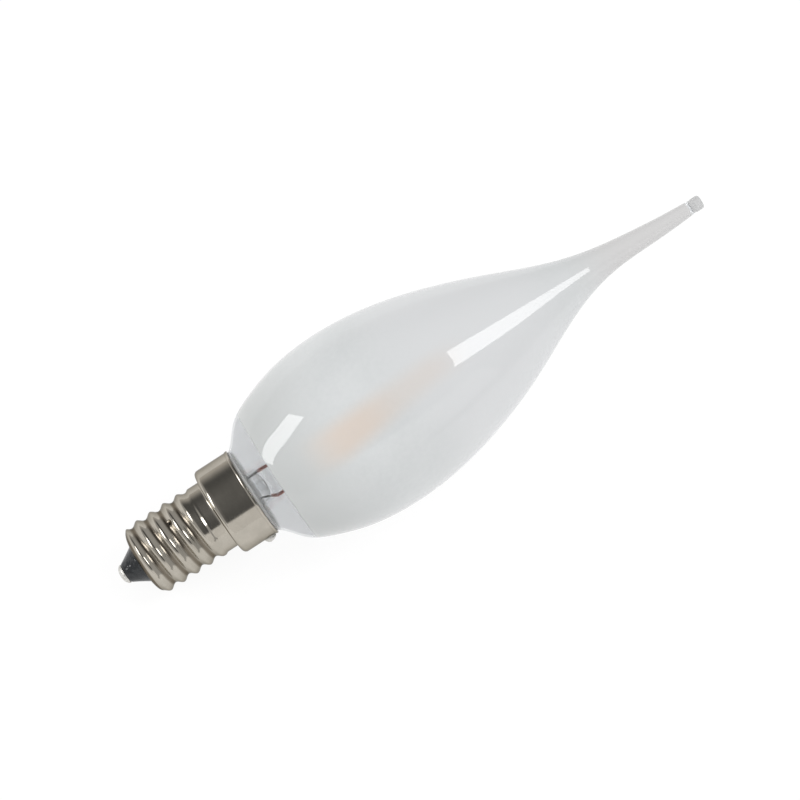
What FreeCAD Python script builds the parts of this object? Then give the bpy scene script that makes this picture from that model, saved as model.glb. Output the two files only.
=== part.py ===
import FreeCAD, Part
import math
import os

from FreeCAD import Vector

# Candle bulb with a drawn flame tip: small screw cap, clear neck, frosted blown envelope, two phosphor strips
# on a pinched glass stem, and a small driver board inside the cap. Millimetres.
#
# The bulb is built standing on its contact, its own axis along Z and z = 0 at the tip of the contact.
# Angles about that axis start on the side that lies underneath and go towards +Y once the bulb is laid down.
# laidDown() then puts it as it comes to rest: on the first full crest of its thread and on its belly.

# Screw cap, form E14/25x17
threadMajorD = 13.85        # over the crests
threadMinorD = 12.30        # over the roots
threadPitch = 2.822
threadFromZ = 3.40          # middle of the root where the groove starts, just below the foot
threadFromAngle = 105.0
threadTurns = 4.95
threadRunOut = 0.30         # turns in which the groove fades into the collar
threadSteps = 4             # straight stretches from crest to crest
threadSkin = 0.03           # the groove's edges reach this far past the crests
threadSpan = 0.96           # share of the pitch that the groove's section covers
shellWall = 0.30            # rolled brass sheet
footZ = 4.30                # metal begins here, above the black glass
footR = 3.75                # opening of the foot, filled by the black glass
footRoundZ = 2.10           # height over which the foot rounds up into the thread
collarZ = 18.20             # the thread ends, a plain collar begins
collarR = 6.65
shoulderZ = 20.75           # the collar turns outwards into the skirt
skirtD = 17.00
rimZ = 27.90                # top of the skirt
rimLip = 0.12               # how far the top edge is rolled outwards
rimLipH = 0.55
rimNotchW = 0.60            # notch in the rim for the side wire
rimNotchH = 1.70
boreCorner = 0.30           # chamfer between shoulder and skirt, inside

# Contact end
insulatorTipZ = 1.10
insulatorTipR = 1.76
insulatorTopZ = 7.60        # upper face of the black glass, inside the shell
eyeletHeadR = 1.74
eyeletHeadH = 0.40
eyeletEdge = 0.10           # chamfer of the head
eyeletTubeR = 0.95
eyeletBoreR = 0.50
eyeletLen = 4.10
solderTipR = 1.62           # the solder drop where it sits on the eyelet
solderTipH = 0.70
solderPlugLen = 1.40        # solder that ran into the eyelet

# Glass envelope
sealZ = 23.40               # lower end of the neck, fused to the stem
neckToZ = 25.20             # the neck is straight up to here
neckWidenZ = 26.60          # and has begun to widen here
neckWiden = 0.08
rimClear = 0.12             # glass to the bore of the skirt, at the rim
throatZ = 29.30             # just above the rim the glass opens out
throatWiden = 1.90
blownOutline = [            # height and outer radius at each station from there on
    (32.30, 12.50), (36.90, 14.85), (44.00, 16.85), (51.80, 17.50), (62.90, 16.45), (73.50, 13.65),
    (82.40, 10.25), (90.50, 6.60), (96.50, 4.30), (102.50, 2.82), (109.50, 2.05), (115.50, 1.64),
    (120.70, 1.30),
]
envelopeWall = 0.60
tailWall = 0.50             # thinner where the glass was drawn out
tailBow = 0.55              # the drawn-out part bows this far off the axis
tailBowFromZ = 76.0
tailBowMidZ = 101.0
tailBowToZ = 118.0
tailBowAngle = 115.0
beadR = 1.34                # solid drop of glass that closes the tail
beadLen = 2.60
beadRound = 0.75
bubbleR = 0.50              # the hollow ends as a bubble inside the bead
bubbleTipR = 0.25

# Stem: flared tube, pinched flat around the wires
sealH = 0.85                # glass ring where the flare is fused to the neck
stemTubeR = 3.25
stemWall = 0.60
flareClear = 0.08           # the flare stands this far off the neck above the seal
flareZ = 27.30              # the flare has narrowed to the tube here
pinchFromZ = 30.40
pinchFullZ = 32.40
pinchHalfT = 1.15
pinchStep = 0.10            # the squeeze starts this far outside the tube
stemTopZ = 38.60
exhaustTubeR = 1.20
exhaustWall = 0.45
exhaustTipZ = 18.60
exhaustTipR = 0.40
exhaustTaper = 2.40         # length over which the tip widens to the tube

# Wires
leadAngle = 115.0           # plane of the two leads
leadSpread = 2.45           # each lead from the axis
leadR = 0.24
leadFree = 4.00             # length of the inner leads above the stem
outerLeadR = 0.16
sealWireFrom = 0.40         # the copper-clad piece starts this far below the pinch
sealWireTo = 3.00           # and ends this far below the top of the stem
supportWireR = 0.22
supportSet = 4.40           # how deep the support wire is set into the stem
supportOver = 2.00          # its top above the leads and one strip's length
crossWireHalf = 1.60
sideWireR = 0.16
centreWireR = 0.25
weldGap = 0.02

# Phosphor strips
stripLen = 34.0
stripW = 1.70
stripT = 1.20
stripChamfer = 0.35
stripHeadX = 1.05           # distance from the axis at the top of the support wire
tabLen = 2.20               # bare tab beyond each end of a strip
tabGrip = 0.80              # length of the tab that is set into the strip
tabW = 0.90
tabT = 0.30
tabWeld = 1.50              # length of the tab beside the lead

# Driver inside the cap
boardT = 1.00
boardClear = 0.30           # board edge to the bore of the shell
boardSeat = 0.15            # board to the black glass below it
boardTopZ = 16.40
partGap = 0.02              # solder film under each component
capacitorR = 2.30
capacitorLen = 7.20
capacitorX = -1.20
rectifierSize = (4.70, 2.50, 3.90)
rectifierZ = 10.80
chipSize = (2.90, 1.50, 3.90)
chipX = 3.60
chipZ = 11.40
resistorSize = (1.25, 0.50, 2.00)
resistorX = 1.60
resistorZ = 14.60
partChamfer = 0.20

# Basing cement between the skirt and the neck
cementT = 0.80              # the gap that it fills
cementClear = 0.10
cementTopZ = 26.50
cementFootZ = 22.05
cementFootIn = 0.50         # it reaches this far under the seal
cementSlotW = 0.60          # slot that the side wire lies in

# Side wire and the solder on the skirt
sideAngle = 295.0
sideWireFromR = 4.90        # where it leaves the board
sideWireTurnZ = 20.60
sideWireLiftZ = 22.40
sideWireOutZ = 26.50
sideSolderR = 1.20
sideSolderH = 0.85          # how far it stands off the skirt
sideSolderUnder = 0.50      # its top stays this far below the rim

# How finely round forms are stepped
outsideSides = 40           # flats around the glass, outside
insideSides = 24            # and inside
envelopeBands = 18          # tapered bands along the blown part of the outline
tubeSides = 16
wireSides = 8
roundSteps = 3              # short cones that make up a round edge
over = 1.0                  # cutting shapes reach this far past what they cut

rootR = threadMinorD / 2
crestR = threadMajorD / 2
boreR = rootR - shellWall
skirtR = skirtD / 2
skirtBoreR = skirtR - shellWall
shoulderBend = (skirtR - collarR) / 2
skirtZ = shoulderZ + shoulderBend
footTopZ = footZ + footRoundZ
neckR = skirtBoreR - cementT
neckBoreR = neckR - envelopeWall
neckOutline = [(sealZ, neckR), (neckToZ, neckR), (neckWidenZ, neckR + neckWiden)]
rimGlassR = skirtBoreR - rimClear
blownStations = [(rimZ, rimGlassR), (throatZ, rimGlassR + throatWiden)] + blownOutline
tailEndZ = blownOutline[-1][0]
sealWireFromZ = pinchFromZ - sealWireFrom
sealWireToZ = stemTopZ - sealWireTo
leadTopZ = stemTopZ + leadFree
supportRootZ = stemTopZ - supportSet
supportTopZ = leadTopZ + stripLen + supportOver
boardFootZ = insulatorTopZ + boardSeat
eyeletHeadZ = insulatorTipZ - eyeletHeadH
origin = Vector(0, 0, 0)
axis = Vector(0, 0, 1)


def rz(r, z):
    # a point of an outline, at radius r and height z
    return Vector(r, 0, z)


def around(shape, degrees):
    turned = shape.copy()
    turned.rotate(origin, axis, degrees)
    return turned


def lines(points):
    return [Part.makeLine(a, b) for a, b in zip(points, points[1:])]


def quarter(centre, r, rise, start, end):
    # points on an ellipse in the outline's plane, between two angles, for a round edge of short cones
    angles = [math.radians(start + (end - start) * i / roundSteps) for i in range(roundSteps + 1)]
    return [rz(centre.x + r * math.cos(a), centre.z + rise * math.sin(a)) for a in angles]


def revolved(points):
    # a closed outline turned once about the axis
    return Part.Face(Part.Wire(lines(points + points[:1]))).revolve(origin, axis, 360)


def cylinder(r, fromZ, toZ, x=0, y=0):
    return Part.makeCylinder(r, toZ - fromZ, Vector(x, y, fromZ))


def chamferedBox(size, centre, chamfer):
    box = Part.makeBox(*size, centre - Vector(*size) / 2)
    upright = [e for e in box.Edges if abs(e.tangentAt(e.FirstParameter).z) > 0.9]
    return box.makeChamfer(chamfer, upright)


def bentWire(points, r):
    # straight runs with a sharp bend where they meet
    return Part.Wire(lines(points)).makePipeShell([ring(points[0], r, wireSides)], True, False, 1)


def smoothStep(x):
    x = min(max(x, 0.0), 1.0)
    return x * x * (3 - 2 * x)


def tailCentre(z):
    # the tail leaves the axis in a smooth curve and comes back to it before its end
    out = smoothStep((z - tailBowFromZ) / (tailBowMidZ - tailBowFromZ))
    back = smoothStep((tailBowToZ - z) / (tailBowToZ - tailBowMidZ))
    angle = math.radians(tailBowAngle)
    return Vector(tailBow * out * back * math.cos(angle), tailBow * out * back * math.sin(angle), z)


# Screw cap

def footRound(r, lift):
    # the sheet rounds up from the opening of the foot to radius r at the first full crest
    return quarter(rz(footR, footTopZ), r - footR, footRoundZ - lift, -90, 0)


def threadSection():
    # one pitch of the groove: a cosine from crest to crest, closed outside the crests
    high = crestR + threadSkin
    half = threadPitch * threadSpan / 2
    points = []
    for i in range(threadSteps + 1):
        along = -half + 2 * half * i / threadSteps
        wave = (1 - math.cos(2 * math.pi * along / threadPitch)) / 2
        points.append(rz(rootR + (high - rootR) * wave, along))
    outside = high + shellWall
    points += [rz(outside, half), rz(outside, -half), points[0]]
    return Part.Wire(lines(points))


def threadGroove():
    # the groove winds up the cap, then its last stretch climbs out on a cone
    helix = Part.makeHelix(threadPitch, threadPitch * threadTurns, rootR)
    groove = Part.Wire(helix).makePipeShell([threadSection()], True, True)
    rise = threadPitch * threadRunOut
    climb = math.degrees(math.atan((crestR + threadSkin - rootR) / rise))
    ramp = Part.makeHelix(threadPitch, rise, rootR, climb)
    fade = Part.Wire(ramp).makePipeShell([threadSection()], True, True)
    fade.translate(axis * threadPitch * threadTurns)
    fade = around(fade, 360 * threadTurns)
    for piece in (groove, fade):
        piece.translate(axis * threadFromZ)
    return groove, fade


def threadedBody():
    # solid up to the shoulder: the groove is cut first, then the collar is turned down above it
    chamferZ = collarZ - crestR + collarR
    body = revolved(footRound(crestR, 0) + [rz(crestR, shoulderZ), rz(0, shoulderZ), rz(0, footZ)])
    for groove in threadGroove():
        body = body.cut(groove)
    aroundCollar = revolved([
        rz(crestR, chamferZ), rz(collarR, collarZ), rz(collarR, shoulderZ + over),
        rz(crestR + over, shoulderZ + over), rz(crestR + over, chamferZ)])
    return around(body.cut(aroundCollar), threadFromAngle)


def skirtBody():
    # solid from the shoulder to the rim, the top edge rolled outwards
    lipR = skirtR + rimLip
    lipZ = rimZ - rimLipH
    bend = quarter(rz(skirtR - shoulderBend, skirtZ), shoulderBend, shoulderBend, -90, 0)
    return revolved(bend + [
        rz(skirtR, lipZ), rz(lipR, lipZ + rimLip), rz(lipR, rimZ), rz(0, rimZ), rz(0, shoulderZ)])


def capBore():
    # everything inside the sheet: foot, thread, collar and skirt
    top = rimZ + over
    collarBoreR = collarR - shellWall
    bendZ = shoulderZ + shellWall
    return revolved(footRound(boreR, shellWall) + [
        rz(boreR, collarZ), rz(collarBoreR, collarZ + collarBoreR - boreR),
        rz(collarBoreR, bendZ), rz(skirtBoreR - boreCorner, bendZ), rz(skirtBoreR, bendZ + boreCorner),
        rz(skirtBoreR, top), rz(0, top), rz(0, footZ - over), rz(footR, footZ - over)])


def capShell():
    # one piece of rolled sheet: rounded foot, thread, collar, shoulder and skirt
    corner = Vector(skirtBoreR - over, -rimNotchW / 2, rimZ - rimNotchH)
    notch = Part.makeBox(shellWall + 2 * over, rimNotchW, rimNotchH + over, corner)
    return threadedBody().fuse(skirtBody()).cut(capBore()).cut(around(notch, sideAngle))


def capInsulator():
    # black glass, moulded into the foot of the shell and drawn to a cone around the contact
    return revolved(footRound(boreR, shellWall) + [
        rz(boreR, insulatorTopZ), rz(eyeletTubeR, insulatorTopZ), rz(eyeletTubeR, insulatorTipZ),
        rz(insulatorTipR, insulatorTipZ), rz(footR, footZ)])


def centreContact():
    # brass eyelet through the black glass
    edgeZ = eyeletHeadZ + eyeletEdge
    return revolved([
        rz(eyeletBoreR, eyeletHeadZ), rz(eyeletHeadR - eyeletEdge, eyeletHeadZ), rz(eyeletHeadR, edgeZ),
        rz(eyeletHeadR, insulatorTipZ), rz(eyeletTubeR, insulatorTipZ),
        rz(eyeletTubeR, eyeletHeadZ + eyeletLen), rz(eyeletBoreR, eyeletHeadZ + eyeletLen)])


def centreSolder():
    # a drop on the eyelet, and the plug that ran into it
    plugTop = eyeletHeadZ + solderPlugLen
    return revolved(quarter(rz(0, eyeletHeadZ), solderTipR, solderTipH, -90, 0) + [
        rz(eyeletBoreR, eyeletHeadZ), rz(eyeletBoreR, plugTop), rz(0, plugTop)])


def sideSolder():
    # a drop just below the rim, seated on the skirt and around the end of the side wire
    dropZ = rimZ - sideSolderUnder - sideSolderR
    drop = Part.makeSphere(sideSolderR, rz(skirtR + sideSolderH - sideSolderR, dropZ))
    lipR = skirtR + rimLip
    seat = revolved([
        rz(0, skirtZ), rz(skirtR, skirtZ), rz(skirtR, rimZ - rimLipH), rz(lipR, rimZ - rimLipH + rimLip),
        rz(lipR, rimZ), rz(skirtR, rimZ), rz(skirtR, rimZ + over), rz(0, rimZ + over)])
    return around(drop.cut(seat), sideAngle).cut(sideWire())


# Glass

def ringCorners(centre, r, sides):
    # corners of a regular ring of flats, on the circle
    turn = 2 * math.pi / sides
    return [centre + Vector(r * math.cos(turn * k), r * math.sin(turn * k), 0) for k in range(sides)]


def ring(centre, r, sides):
    corners = ringCorners(centre, r, sides)
    return Part.makePolygon(corners + corners[:1])


def flat(corners):
    return Part.Face(Part.makePolygon(corners + corners[:1]))


def glassLoft(stations, sides):
    # tapered bands of flats from ring to ring, closed at both ends
    rings = [ringCorners(tailCentre(z), r, sides) for z, r in stations]
    faces = [flat(rings[0]), flat(rings[-1])]
    for low, high in zip(rings, rings[1:]):
        faces += [flat([low[k - 1], low[k], high[k], high[k - 1]]) for k in range(sides)]
    return Part.Solid(Part.Shell(faces))


def rod(r, fromZ, toZ, x=0):
    # a straight wire, or the hole that a wire is sealed in
    return Part.Face(ring(rz(x, fromZ), r, wireSides)).extrude(axis * (toZ - fromZ))


def blownCurve():
    # the stations from the rim to the tail, joined by one smooth curve
    curve = Part.BSplineCurve()
    curve.interpolate([rz(r, z) for z, r in blownStations])
    return curve


def outline():
    # the straight neck, then the curve read at even steps of its length
    return neckOutline + [(p.z, p.x) for p in blownCurve().discretize(envelopeBands + 1)]


def wallAt(z):
    return envelopeWall + (tailWall - envelopeWall) * (z - sealZ) / (tailEndZ - sealZ)


def glassEnvelope():
    # blown in one piece: open at the seal, drawn out to a thin hollow tail that a solid bead closes
    beadEdge = quarter(rz(beadR - beadRound, tailEndZ + beadLen - beadRound), beadRound, beadRound, 0, 90)
    bead = glassLoft([(tailEndZ, beadR)] + [(p.z, p.x) for p in beadEdge], tubeSides)
    inside = [(z, r - wallAt(z)) for z, r in outline()]
    bubble = [(tailEndZ, inside[-1][1]), (tailEndZ + bubbleR, bubbleR), (tailEndZ + 2 * bubbleR, bubbleTipR)]
    hollow = glassLoft([(sealZ - over, neckBoreR)] + inside[1:] + bubble[1:], insideSides)
    return glassLoft(outline(), outsideSides).fuse(bead).cut(hollow)


def stemGlass():
    # flare, tube and pinch; the edge of the flare is fused to the neck all round
    footLine = sealZ - sealH
    inR = stemTubeR - stemWall
    flareR = neckBoreR - flareClear
    flare = quarter(rz(flareR, flareZ), flareR - stemTubeR, flareZ - sealZ, -90, -180)
    throat = quarter(rz(neckBoreR, flareZ), neckBoreR - inR, flareZ - footLine, -90, -180)
    glass = glassLoft([(p.z, p.x) for p in flare] + [(stemTopZ, stemTubeR)], tubeSides)
    glass = glass.fuse(glassLoft([(footLine, neckR), (sealZ, neckR)], outsideSides))
    glass = glass.cut(glassLoft([(p.z, p.x) for p in throat] + [(pinchFromZ, inR)], tubeSides))
    for side in (-1, 1):
        outside = [Vector(-stemTubeR, side * y, z) for y, z in (
            (stemTubeR + pinchStep, pinchFromZ), (pinchHalfT, pinchFullZ), (pinchHalfT, stemTopZ + over),
            (stemTubeR + over, stemTopZ + over), (stemTubeR + over, pinchFromZ),
            (stemTubeR + pinchStep, pinchFromZ))]
        glass = glass.cut(Part.Face(Part.Wire(lines(outside))).extrude(Vector(2 * stemTubeR, 0, 0)))
    for x in (-leadSpread, leadSpread):
        glass = glass.cut(rod(leadR, pinchFromZ - over, stemTopZ + over, x))
    glass = glass.cut(rod(supportWireR, supportRootZ, stemTopZ + over))
    return around(glass, leadAngle)


def exhaustTube():
    # thin tube inside the stem, closed at its lower tip where the bulb was sealed off
    inR = exhaustTubeR - exhaustWall
    fullZ = exhaustTipZ + exhaustTaper
    tube = [(exhaustTipZ, exhaustTipR), (fullZ, exhaustTubeR), (pinchFromZ, exhaustTubeR)]
    hollow = [(fullZ, exhaustTipR / 2), (fullZ + inR, inR), (pinchFromZ + over, inR)]
    return glassLoft(tube, tubeSides).cut(glassLoft(hollow, tubeSides))


# Wires

def bothSides(shape):
    return Part.Compound([around(shape, leadAngle), around(shape, leadAngle + 180)])


def innerLead(side):
    return around(rod(leadR, sealWireToZ, leadTopZ, leadSpread), leadAngle + side)


def outerLead(side):
    return around(rod(outerLeadR, boardTopZ, sealWireFromZ, leadSpread), leadAngle + side)


def sealWires():
    return bothSides(rod(leadR, sealWireFromZ, sealWireToZ, leadSpread))


def supportWire():
    return around(rod(supportWireR, supportRootZ, supportTopZ), leadAngle)


def crossWire():
    # welded across the top of the support wire, beside the upper tabs
    bar = rod(supportWireR, -crossWireHalf, crossWireHalf)
    bar.rotate(origin, Vector(0, 1, 0), 90)
    bar.translate(Vector(0, 2 * supportWireR + weldGap, supportTopZ - supportWireR))
    return around(bar, leadAngle)


def sideWire():
    # from the board, up between neck and skirt, out through the notch in the rim
    layR = (neckR + skirtBoreR) / 2
    points = [rz(sideWireFromR, boardTopZ), rz(sideWireFromR, sideWireTurnZ), rz(layR, sideWireLiftZ),
              rz(layR, sideWireOutZ), rz(skirtR + sideSolderH / 2, sideWireOutZ)]
    return around(bentWire(points, sideWireR), sideAngle)


def centreWire():
    return rod(centreWireR, eyeletHeadZ + solderPlugLen, boardFootZ)


# Phosphor strips

def stripPlace():
    # the strip's lower tab lies beside its lead, and its upper tab reaches the top of the support wire
    weld = rz(leadSpread + leadR + weldGap + tabW / 2, leadTopZ)
    top = rz(stripHeadX, supportTopZ)
    return weld, (top - weld).normalize()


def alongStrip(shape, side):
    # a shape built upwards from the lower tab's end is leaned and carried to its place
    weld, run = stripPlace()
    lean = math.degrees(math.atan2(run.x, run.z))
    placed = shape.copy()
    placed.rotate(origin, Vector(0, 1, 0), lean)
    placed.translate(weld - run * tabWeld)
    return around(placed, leadAngle + side)


def tabBoxes():
    length = tabLen + tabGrip
    corner = Vector(-tabW / 2, -tabT / 2, 0)
    lower = Part.makeBox(tabW, tabT, length, corner)
    upper = Part.makeBox(tabW, tabT, length, corner + axis * (tabLen + stripLen - tabGrip))
    return lower, upper


def phosphorStrip(side):
    middle = axis * (tabLen + stripLen / 2)
    body = chamferedBox((stripW, stripT, stripLen), middle, stripChamfer)
    for tab in tabBoxes():
        body = body.cut(tab)
    return alongStrip(body, side)


def stripTabs():
    return Part.Compound([alongStrip(tab, side) for side in (0, 180) for tab in tabBoxes()])


# Driver

def onBoard(shape):
    return around(shape, leadAngle)


def driverBoard():
    halfT = boardT / 2
    halfW = math.sqrt((boreR - boardClear) ** 2 - halfT ** 2)
    corner = Vector(-halfW, -halfT, boardFootZ)
    return onBoard(Part.makeBox(2 * halfW, boardT, boardTopZ - boardFootZ, corner))


def besideBoard(size, x, z, face):
    # a moulded component flat on one face of the board
    y = face * (boardT / 2 + partGap + size[1] / 2)
    return onBoard(chamferedBox(size, Vector(x, y, z), partChamfer))


def capacitor():
    y = boardT / 2 + partGap + capacitorR
    canFootZ = boardFootZ + partChamfer
    can = cylinder(capacitorR, canFootZ, canFootZ + capacitorLen, capacitorX, y)
    return onBoard(can.makeChamfer(partChamfer, [e for e in can.Edges if e.BoundBox.ZLength < 0.01]))


def resistors():
    return Part.Compound([besideBoard(resistorSize, x, resistorZ, -1) for x in (-resistorX, resistorX)])


def basingCement():
    inR = neckR + cementClear
    underZ = sealZ - sealH - cementClear
    ring = revolved([
        rz(neckR - cementFootIn, cementFootZ), rz(skirtBoreR, cementFootZ), rz(skirtBoreR, cementTopZ),
        rz(inR, cementTopZ), rz(inR, underZ), rz(neckR - cementFootIn, underZ)])
    slot = Part.makeBox(skirtR, cementSlotW, cementTopZ, Vector(0, -cementSlotW / 2, cementFootZ - over))
    return ring.cut(around(slot, sideAngle))


# The bulb at rest

def firstFullCrest():
    # height of the first full crest on the underside
    z = threadFromZ + threadPitch * ((-threadFromAngle / 360) % 1 + 0.5)
    while z < footTopZ:
        z += threadPitch
    return z


def restTilt():
    # the line from the first full crest that just touches the belly
    crestZ = firstFullCrest()
    slopes = [(r - crestR) / (z - crestZ) for z, r in outline()]
    return math.degrees(math.atan(max(slopes)))


def laidDown(nodes):
    # the axis is laid along +X, the tail raised by the tilt, and the bulb set on the ground about the origin
    tilt = restTilt()
    laid = {name: shape.copy() for name, shape in nodes.items()}
    for shape in laid.values():
        shape.rotate(origin, Vector(0, 1, 0), 90 - tilt)
    box = Part.Compound(list(laid.values())).optimalBoundingBox(False, False)
    for shape in laid.values():
        shape.translate(Vector(-box.Center.x, -box.Center.y, -box.ZMin))
    return laid


def bulb():
    return {
        "cap_shell": capShell(),
        "cap_insulator": capInsulator(),
        "centre_contact": centreContact(),
        "centre_solder": centreSolder(),
        "side_solder": sideSolder(),
        "basing_cement": basingCement(),
        "glass_envelope": glassEnvelope(),
        "stem_glass": stemGlass(),
        "exhaust_tube": exhaustTube(),
        "inner_lead_a": innerLead(0),
        "inner_lead_b": innerLead(180),
        "seal_wires": sealWires(),
        "outer_lead_a": outerLead(0),
        "outer_lead_b": outerLead(180),
        "support_wire": supportWire(),
        "cross_wire": crossWire(),
        "phosphor_strip_a": phosphorStrip(0),
        "phosphor_strip_b": phosphorStrip(180),
        "strip_tabs": stripTabs(),
        "driver_board": driverBoard(),
        "bridge_rectifier": besideBoard(rectifierSize, 0, rectifierZ, -1),
        "driver_chip": besideBoard(chipSize, chipX, chipZ, 1),
        "smoothing_capacitor": capacitor(),
        "sense_resistors": resistors(),
        "side_wire": sideWire(),
        "centre_wire": centreWire(),
    }


os.makedirs("parts", exist_ok=True)
for name, shape in laidDown(bulb()).items():
    shape.exportStep(f"parts/{name}.step")
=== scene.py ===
import bpy
import numpy as np
from mathutils import Matrix, Vector


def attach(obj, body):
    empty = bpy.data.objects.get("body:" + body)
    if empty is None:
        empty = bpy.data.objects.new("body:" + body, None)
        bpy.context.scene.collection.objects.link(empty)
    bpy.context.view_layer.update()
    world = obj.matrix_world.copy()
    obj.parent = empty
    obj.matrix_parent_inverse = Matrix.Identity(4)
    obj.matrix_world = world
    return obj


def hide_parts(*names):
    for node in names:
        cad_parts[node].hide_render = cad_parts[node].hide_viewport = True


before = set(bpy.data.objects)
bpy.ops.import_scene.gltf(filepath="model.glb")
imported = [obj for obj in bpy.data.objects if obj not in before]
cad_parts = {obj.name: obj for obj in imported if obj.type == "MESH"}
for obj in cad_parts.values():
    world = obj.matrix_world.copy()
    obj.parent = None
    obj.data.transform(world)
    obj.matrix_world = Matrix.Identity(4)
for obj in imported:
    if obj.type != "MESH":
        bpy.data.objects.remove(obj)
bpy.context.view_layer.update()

# Candle bulb lying on a white table. Shapes are worked out in the bulb's own millimetres:
# x towards the side that lies underneath, y across, z along its axis from the tip of the contact.


def nodePoints(name):  # a frame node's points, one row each, in metres
    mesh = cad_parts[name].data
    points = np.empty(len(mesh.vertices) * 3)
    mesh.vertices.foreach_get("co", points)
    return points.reshape(-1, 3)


def nodeMiddle(name):  # the middle of a frame node's box
    points = nodePoints(name)
    return (points.min(0) + points.max(0)) / 2


def unit(way):  # the same direction with a length of one
    return way / np.linalg.norm(way, axis=-1, keepdims=True)


# the two straight wires on the axis give its direction, the solder drop gives its start
wireFoot = nodeMiddle("centre_wire")
along = unit(nodeMiddle("support_wire") - wireFoot)
across = np.array([0.0, 1.0, 0.0])
under = np.cross(across, along)
contactTip = wireFoot + along * ((nodePoints("centre_solder") - wireFoot) @ along).min()
directions = np.array([under, across, along])
print("axis", along.round(4), "contact tip", contactTip.round(5))


def placed(points):  # bulb millimetres to frame metres
    return contactTip + (points @ directions) / 1000


def unplaced(points):  # frame metres to bulb millimetres
    return (points - contactTip) @ directions.T * 1000


# curves


def run(start, end, count):  # straight run: evenly spaced points from start up to, not including, end
    return np.linspace(start, end, count, endpoint=False)


def arc(middle, radii, fromDeg, toDeg, count):  # ellipse arc: middle plus radii times cosine and sine
    turn = np.radians(np.linspace(fromDeg, toDeg, count, endpoint=False))
    return np.column_stack([middle[0] + radii[0] * np.cos(turn), middle[1] + radii[1] * np.sin(turn)])


def wayAlong(points):  # for each point of a row, the length of the path up to it
    return np.concatenate([[0], np.cumsum(np.linalg.norm(np.diff(points, axis=0), axis=1))])


def smoothCurve(knots, values, at):
    # natural cubic spline: one linear system gives the bend at each knot, a cubic joins each pair of knots
    gaps = np.diff(knots)
    rise = np.diff(values, axis=0) / gaps[:, None]
    rows = np.arange(1, len(knots) - 1)
    system = np.eye(len(knots))
    system[rows, rows - 1] = gaps[:-1]
    system[rows, rows] = 2 * (gaps[:-1] + gaps[1:])
    system[rows, rows + 1] = gaps[1:]
    wanted = np.zeros_like(values)
    wanted[rows] = 6 * np.diff(rise, axis=0)
    bend = np.linalg.solve(system, wanted)
    k = np.clip(np.searchsorted(knots, at) - 1, 0, len(knots) - 2)
    b = ((at - knots[k]) / gaps[k])[:, None]
    a = 1 - b
    bow = ((a**3 - a) * bend[k] + (b**3 - b) * bend[k + 1]) * gaps[k, None] ** 2 / 6
    return a * values[k] + b * values[k + 1] + bow


def step(x):  # smooth step from 0 to 1: x squared times 3 - 2x
    x = np.clip(x, 0, 1)
    return x * x * (3 - 2 * x)


def quarterRound(x):  # quarter circle from 0, steep, to 1, level: the root of 1 - (1 - x) squared
    return np.sqrt(1 - (1 - np.clip(x, 0, 1)) ** 2)


# surfaces


def aroundSteps(count):  # one row of angles for a full turn
    return np.linspace(0, 2 * np.pi, count, endpoint=False)[None, :]


def turned(radius, height, around):  # radius times cosine and sine of each angle, at that height
    return np.stack([radius * np.cos(around), radius * np.sin(around), height + 0 * around], -1)


def revolved(path, sides):  # an outline of radius and height pairs, turned about the axis
    return turned(path[:, :1], path[:, 1:], aroundSteps(sides))


def aimed(out, aside, height, degrees):
    # points given by their distance out in a direction about the axis, square to it, and up the axis
    cosine, sine = np.cos(np.radians(degrees)), np.sin(np.radians(degrees))
    return np.stack([out * cosine - aside * sine, out * sine + aside * cosine, height + 0 * out], -1)


def addSurface(name, grid, replaces=(), ring=False, sharp=40):
    # quads between the points of a grid, closed around its columns; its rows close on themselves in a ring,
    # or end in two poles, each the mean of its row, with a fan of triangles
    rows, columns = grid.shape[:2]
    if ring:
        points = grid.reshape(-1, 3)
        below = np.arange(rows * columns).reshape(rows, columns)
        above = np.roll(below, -1, 0)
        fans = []
    else:
        points = np.vstack([grid[0].mean(0), grid[1:-1].reshape(-1, 3), grid[-1].mean(0)])
        index = 1 + np.arange((rows - 2) * columns).reshape(rows - 2, columns)
        below, above = index[:-1], index[1:]
        last = len(points) - 1
        start = np.column_stack([np.zeros(columns, int), np.roll(index[0], -1), index[0]])
        end = np.column_stack([np.full(columns, last), index[-1], np.roll(index[-1], -1)])
        fans = [start, end]
    quads = np.stack([below, np.roll(below, -1, 1), np.roll(above, -1, 1), above], -1).reshape(-1, 4)
    world = placed(points)
    a, b, c, d = (world[quads[:, k]] - world.mean(0) for k in range(4))
    inside = np.einsum("ij,ij->", a, np.cross(b, c)) + np.einsum("ij,ij->", a, np.cross(c, d))
    faces = [quads] + fans
    if inside < 0:  # faces point outwards when the enclosed volume comes out positive
        faces = [f[:, ::-1] for f in faces]
    mesh = bpy.data.meshes.new(name)
    mesh.from_pydata(world.tolist(), [], sum((f.tolist() for f in faces), []))
    mesh.polygons.foreach_set("use_smooth", np.ones(len(mesh.polygons), bool))
    mesh.set_sharp_from_angle(angle=np.radians(sharp))
    piece = bpy.data.objects.new(name, mesh)
    bpy.context.scene.collection.objects.link(piece)
    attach(piece, "root")
    if replaces:
        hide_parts(*replaces)
    print("piece", name, len(mesh.polygons), "faces")


# screw cap

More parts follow.
